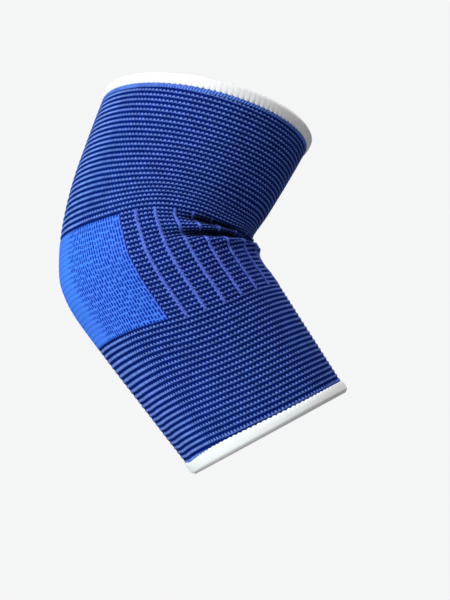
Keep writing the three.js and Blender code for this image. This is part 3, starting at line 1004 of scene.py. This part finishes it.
def looped_knit(name, groove, low_loop, loop_highlight, stitch_change):
    """Light loops over dark grooves, with a painted highlight along the crest of each loop, and every stitch
    a little lighter or darker than the next.
    """
    material, tree, shader, place = start_material(name, roughness=0.8, sheen=0.02)
    wale = tree.parts(place)["X"]
    round_arm = tree.math("MINIMUM", wale, tree.minus(WALES_ROUND, wale))
    flat = tree.ramp(round_arm, *BACK_WALES)
    stitch = tree.use(loop_group, {"Place": place, "Flat": flat})
    fibre = tree.use(fibre_group, {"Place": place, "Across": 4.0, "Along": 16.0})["Fibre"]
    dye = tree.use(shade_group, {"Size": 22.0, "Amount": 0.3, "Hue": 0.22})
    shown = tree.math("MULTIPLY_ADD", flat, BACK_OPEN, stitch["Loop"])
    # Painted highlight along the crest of each loop.
    loop = tree.blend(tree.ramp(shown, *LOOP_TO_HIGHLIGHT), low_loop, loop_highlight)
    colour = tree.blend(tree.ramp(shown, *GROOVE_TO_LOOP), groove, loop)
    colour = tree.blend(1.0, top_band(tree, place, round_arm, colour), dye["Tint"], "MULTIPLY")
    change = tree.math("MULTIPLY_ADD", tree.minus(stitch["Stitch"], 0.5), stitch_change, dye["Shade"])
    colour = tree.scaled(colour, tree.times(change, streaks(tree, fibre, amount=0.3)))
    # Painted shade: the colour darkens towards the bottom of each crease.
    colour = tree.use(crease_shade_group, {"Colour": colour})["Colour"]
    paint(tree, shader, colour, fibre, strength=0.25)
    return material


# Each knit: groove, loop, painted highlight at the loop's crest, and the change from stitch to stitch.
rib_knit = looped_knit("rib_knit", (0.0008, 0.0115, 0.14, 1), (0.043, 0.09, 0.41, 1),
                       (0.145, 0.24, 0.64, 1), 0.34)
flex_knit = looped_knit("flex_knit", (0.0008, 0.0125, 0.155, 1), (0.041, 0.084, 0.37, 1),
                        (0.15, 0.24, 0.64, 1), 0.4)

# %% [markdown]
# Patch knit
# Over the point of the elbow the cloth is a plain fine knit of one bright blue: upright ribs, with a short
# darker dash between two ribs at every row. Where the elbow stretches it most, the ribs open out and only a
# thin line is left for each row. The same counts of ribs and rows that raise the cloth place the dashes.

# %% Where the ribs and the dashes of the patch lie
DASH_SHIFT = 0.42
DASH_END, DASH_SIDE = (-0.1, 0.08), (0.42, 0.2)

# What is added where the cloth is ribbed, or by the random number of a dash, and what is there without it.
DASH_HALF_LENGTH = (0.26, 0.1)
DASH_STRENGTH = (0.7, 0.4)
DASH_CHANGE = (0.4, 0.75)


def patch_ribs(tree, round_arm, row):
    """The number of ribs from the patch's edge at a point, and the wales from that edge."""
    down = tree.math("DIVIDE", tree.minus(row, UPPER_ROWS), ELBOW_ROWS)
    from_edge = tree.minus(PATCH_HALF_WALES, round_arm)
    drift = tree.times(down, tree.math("MULTIPLY_ADD", down, RIB_DRIFT[1], RIB_DRIFT[0]))
    near_edge = tree.add("ShaderNodeMapRange", {"Value": from_edge, "From Max": DRIFT_EDGE_WALES})
    shifted = tree.math("MULTIPLY_ADD", drift, near_edge.outputs[0], from_edge)
    return tree.times(shifted, RIBS_PER_WALE), from_edge


def patch_dashes(tree, ribs, row, ribbed):
    """A dash in each rib's groove at every row, which spreads into a thin line where the ribs are gone."""
    groove = tree.math("ROUND", ribs)
    cell = tree.add("ShaderNodeCombineXYZ", {"X": groove, "Y": tree.math("FLOOR", row)}).outputs[0]
    random = tree.random(cell)
    shift = tree.times(tree.minus(random, 0.5), DASH_SHIFT)
    from_dash = tree.size(tree.math("MULTIPLY_ADD", shift, ribbed, tree.in_cell(row)))
    half_length = tree.math("MULTIPLY_ADD", ribbed, *DASH_HALF_LENGTH)
    long = tree.ramp(tree.minus(half_length, from_dash), *DASH_END)
    narrow = tree.ramp(tree.size(tree.minus(ribs, groove)), *DASH_SIDE)
    wide = tree.math("MAXIMUM", narrow, tree.minus(1.0, ribbed))
    strength = tree.times(tree.math("MULTIPLY_ADD", ribbed, *DASH_STRENGTH),
                          tree.math("MULTIPLY_ADD", random, *DASH_CHANGE))
    return tree.times(tree.times(long, wide), strength)


# %% Finish: patch knit
PATCH_NAVY, NAVY_ROWS = (0.003, 0.018, 0.15, 1), (0.5, 0.15)
FRONT_RIB, FRONT_RIB_WALES, FRONT_RIB_SHARE = (0.1, 0.18, 0.78, 1), (1.0, 0.5), 0.5
# Painted highlight along the ridge of each rib, halfway between its grooves.
RIDGE_HIGHLIGHT, RIDGE_SIDE, RIDGE_HIGHLIGHT_SHARE = (0.12, 0.3, 0.95, 1), (0.3, 0.5), 0.4


def plain_fine_knit(name, blue, dark):
    """Ribs of one blue with a darker dash at every row, a painted highlight along the ridges, and navy at the
    ends of the patch.
    """
    material, tree, shader, place = start_material(name, roughness=0.8, sheen=0.02)
    parts = tree.parts(place)
    round_arm = tree.size(parts["X"])
    ribs, from_edge = patch_ribs(tree, round_arm, parts["Y"])
    ribbed = tree.ramp(round_arm, *PATCH_SMOOTH_WALES)
    dash = patch_dashes(tree, ribs, parts["Y"], ribbed)
    front = tree.ramp(from_edge, *FRONT_RIB_WALES)
    from_groove = tree.size(tree.minus(ribs, tree.math("ROUND", ribs)))
    # Painted highlight along each rib's ridge.
    ridge = tree.times(tree.ramp(from_groove, *RIDGE_SIDE), ribbed)
    ground = tree.blend(tree.times(ridge, RIDGE_HIGHLIGHT_SHARE), blue, RIDGE_HIGHLIGHT)
    ground = tree.blend(tree.times(front, FRONT_RIB_SHARE), ground, FRONT_RIB)
    colour = tree.blend(tree.math("MINIMUM", dash, 1.0), ground, dark)
    to_end = tree.math("MINIMUM", tree.minus(parts["Y"], UPPER_ROWS), tree.minus(PANEL_END_ROW, parts["Y"]))
    colour = tree.blend(tree.ramp(to_end, *NAVY_ROWS), colour, PATCH_NAVY)
    dye = tree.use(shade_group, {"Size": 30.0, "Amount": 0.25, "Hue": 0.3})
    fibre = tree.use(fibre_group, {"Place": place, "Across": 18.0, "Along": 4.0})["Fibre"]
    colour = tree.blend(1.0, colour, dye["Tint"], "MULTIPLY")
    colour = tree.scaled(colour, tree.times(streaks(tree, fibre, amount=0.5), dye["Shade"]))
    paint(tree, shader, colour, fibre, strength=0.2)
    return material


patch_knit = plain_fine_knit("patch_knit", (0.065, 0.23, 0.91, 1), (0.002, 0.033, 0.4, 1))

# %% [markdown]
# Raised yarn and hem
# The raised lines are a soft two-ply yarn, mottled where its plies cross, with painted shade in the creases.
# The hem is white elastic thread with no colour of its own, so only its fibres and its stitches show.

# %% Finish: the raised yarn
PLY_STRIPES = 1.7
PLY_STRIPE_SLANT = 1.4
PLY_STRIPE_SHARE = 0.09
PLY_EDGE = (0.3, 0.62)
PLY_HEIGHT = 0.0003


def raised_yarn(name, light, dark):
    """Two plies that cross in slanted stripes, broken up by fibres."""
    material, tree, shader, place = start_material(name, roughness=0.75, sheen=0.02)
    parts = tree.parts(place)
    fibre = tree.use(fibre_group, {"Place": place, "Across": 3.5, "Along": 2.6})["Fibre"]
    turn = tree.math("MULTIPLY_ADD", parts["X"], PLY_STRIPE_SLANT, tree.times(parts["Y"], PLY_STRIPES))
    stripe = tree.math("COSINE", tree.times(turn, 2 * math.pi))
    spread = tree.math("MULTIPLY_ADD", stripe, PLY_STRIPE_SHARE, fibre)
    shade = tree.use(shade_group, {"Size": 60.0, "Amount": 0.25})["Shade"]
    colour = tree.scaled(tree.blend(tree.ramp(spread, *PLY_EDGE), dark, light), shade)
    # Painted shade: the yarn darkens towards the bottom of each crease.
    colour = tree.use(crease_shade_group, {"Colour": colour})["Colour"]
    paint(tree, shader, colour, spread, strength=0.5, height=PLY_HEIGHT)
    return material


line_yarn = raised_yarn("line_yarn", (0.13, 0.205, 0.8, 1), (0.04, 0.075, 0.4, 1))

# %% Finish: the hem
HEM_FIBRE_EDGE = (0.3, 0.7)


def hem_thread(name, light, dark):
    """White thread with fibres and a little change of shade."""
    material, tree, shader, place = start_material(name, roughness=0.9, sheen=0.3, sheen_tint=(1, 1, 1, 1))
    fibre = tree.use(fibre_group, {"Place": place, "Across": 5.0, "Along": 9.0})["Fibre"]
    shade = tree.use(shade_group, {"Size": 60.0, "Amount": 0.06})["Shade"]
    colour = tree.scaled(tree.blend(tree.ramp(fibre, *HEM_FIBRE_EDGE), dark, light), shade)
    paint(tree, shader, colour, fibre, strength=0.3)
    return material


hem_cotton = hem_thread("hem_cotton", (0.98, 0.98, 0.975, 1), (0.91, 0.91, 0.91, 1))

# %% Dress the pieces
FINISHED = [
    (upper_sleeve, rib_knit),
    (forearm_sleeve, rib_knit),
    (flex_panel, flex_knit),
    (elbow_patch, patch_knit),
    (flex_lines, line_yarn),
    (upper_hem, hem_cotton),
    (forearm_hem, hem_cotton),
]
for piece, finish in FINISHED:
    piece.data.materials.append(finish)
print("finishes:", ", ".join(sorted({finish.name for _, finish in FINISHED})))

# %% [markdown]
# Light and floor
# The photograph is lit by broad soft boxes on plain white: strongest from the left, weaker from the front
# and from above. One lamp would leave the lower tube black, so each is set where it lights the faces that are
# bright in the photograph, and a faint one behind keeps the far side readable from other views.

# %% World
SEEN_WORLD = {"Color": (0.99, 0.995, 1, 1), "Strength": 0.92}
LIT_WORLD = {"Color": (0.94, 0.95, 1, 1), "Strength": 0.17}

scene = bpy.context.scene
scene.view_settings.view_transform = "Standard"
world = bpy.data.worlds.new("studio")
scene.world = world
world.use_nodes = True
world.node_tree.nodes.clear()
world_tree = NodeTree(world.node_tree)
lit, seen = [world_tree.add("ShaderNodeBackground", look).outputs[0] for look in (LIT_WORLD, SEEN_WORLD)]
camera_ray = world_tree.add("ShaderNodeLightPath").outputs["Is Camera Ray"]
mixed = world_tree.add("ShaderNodeMixShader", {"Fac": camera_ray, 1: lit, 2: seen}).outputs[0]
world_tree.add("ShaderNodeOutputWorld", {"Surface": mixed})

# %% Lights
LIGHT_DISTANCE = 1.9


def soft_light(name, direction, size, power, colour=(1, 1, 1)):
    """A square soft box in a direction from the elbow, turned towards it."""
    data = bpy.data.lights.new(name, "AREA")
    data.size = size
    data.energy = power
    data.color = colour
    lamp = bpy.data.objects.new(name, data)
    lamp.location = Vector(direction).normalized() * LIGHT_DISTANCE
    lamp.rotation_mode = "QUATERNION"
    lamp.rotation_quaternion = (-lamp.location).to_track_quat("-Z", "Y")
    scene.collection.objects.link(lamp)


soft_light("side_key", (-0.95, -0.36, 0.05), 0.9, 36, (0.9, 0.99, 1))
soft_light("front_fill", (-0.2, -0.95, 0.1), 1.2, 6.5, (1, 0.95, 0.94))
soft_light("top_fill", (0.08, -0.32, 0.95), 1.0, 23)
soft_light("back_fill", (0.35, 0.9, 0.3), 1.5, 14)

# %% Floor
FLOOR_DROP = -1.25
FLOOR_HALF = 40
FLOOR_GLOW = 0.75
FLOOR_LOOK = {"Base Color": (0.5, 0.5, 0.505, 1), "Roughness": 0.9, "Emission Color": (1, 1, 1, 1)}
FLOOR_CORNERS = [(x * FLOOR_HALF, y * FLOOR_HALF, FLOOR_DROP)
                 for x, y in ((-1, -1), (1, -1), (1, 1), (-1, 1))]

floor_mesh = bpy.data.meshes.new("floor")
floor_mesh.from_pydata(FLOOR_CORNERS, [], [(0, 1, 2, 3)])
floor = bpy.data.objects.new("floor", floor_mesh)
scene.collection.objects.link(floor)
floor_paint = bpy.data.materials.new("floor_paint")
floor_paint.use_nodes = True
floor_shader = floor_paint.node_tree.nodes["Principled BSDF"]
for label, value in FLOOR_LOOK.items():
    floor_shader.inputs[label].default_value = value
floor_tree = NodeTree(floor_paint.node_tree)
camera_ray = floor_tree.add("ShaderNodeLightPath").outputs["Is Camera Ray"]
floor_tree.link(floor_tree.times(camera_ray, FLOOR_GLOW), floor_shader.inputs["Emission Strength"])
floor_mesh.materials.append(floor_paint)

# %% Hand the pieces to the frame
CLOTH = [
    (upper_sleeve, "upper_sleeve", "rib_knit"),
    (forearm_sleeve, "forearm_sleeve", "rib_knit"),
    (flex_panel, "flex_panel", "flex_knit"),
    (elbow_patch, "elbow_patch", "patch_knit"),
    (upper_hem, "upper_hem", "hem"),
    (forearm_hem, "forearm_hem", "hem"),
]
for piece, node, slot in CLOTH:
    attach(piece, "root")
    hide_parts(node)
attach(flex_lines, "root")
